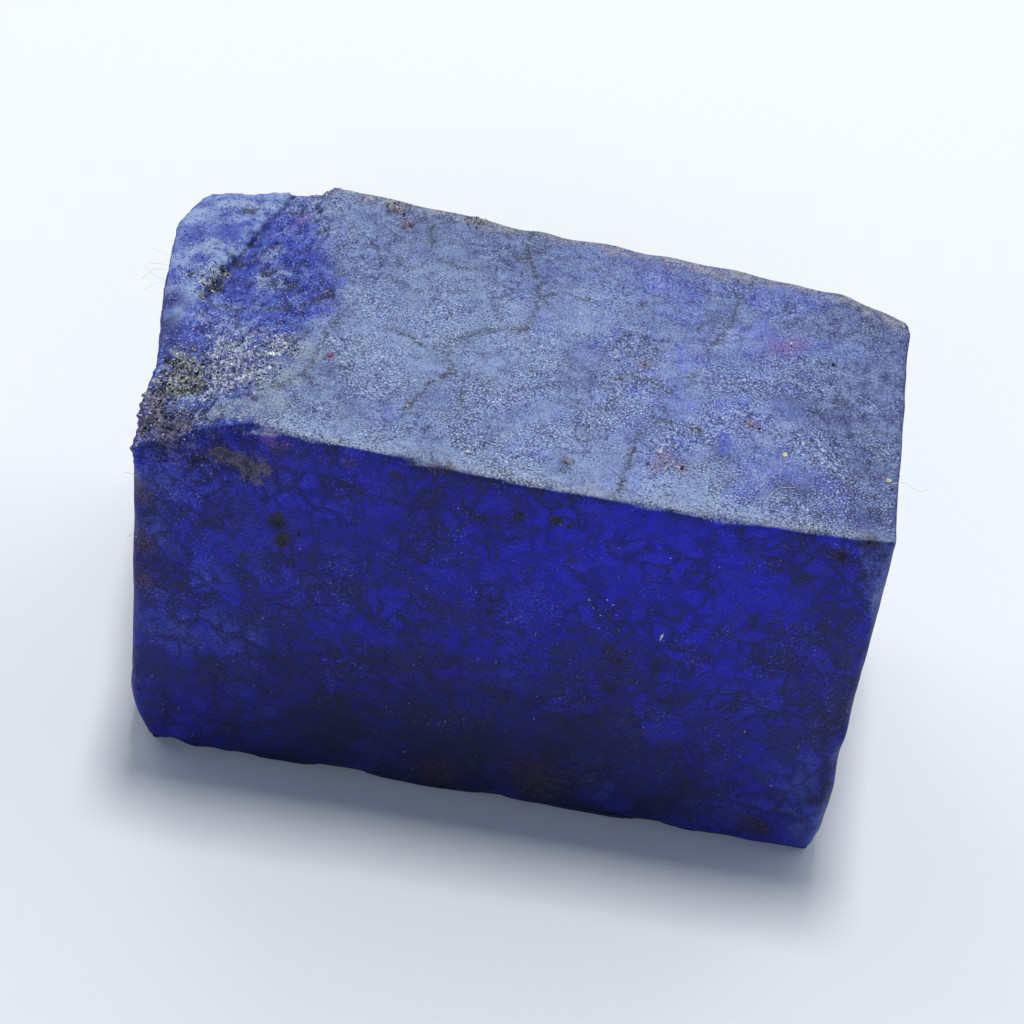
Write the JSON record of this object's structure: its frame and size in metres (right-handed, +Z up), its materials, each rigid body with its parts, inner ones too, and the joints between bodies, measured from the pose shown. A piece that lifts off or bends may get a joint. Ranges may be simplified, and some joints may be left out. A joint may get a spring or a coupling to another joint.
{
  "type": "rough sapphire",
  "caption": "Rough opaque sapphire sawn into an upright block, with a broken upper end, worn edges and a flat base to stand on.",
  "frame": {"origin": "centre of the base outline, on the surface that the stone stands on", "axes": "+X along the stone's length, from the broken end to the square end; +Y from the front face to the back face; +Z up"},
  "size_m": [0.041, 0.0228, 0.0235],
  "materials": {
    "blue_corundum": "opaque deep blue corundum, dull and finely grained where it was sawn, with dark crackle lines, and glassy on fresh breaks"
  },
  "bodies": {
    "root": {"rough_sapphire": "blue_corundum"}
  },
  "joints": []
}
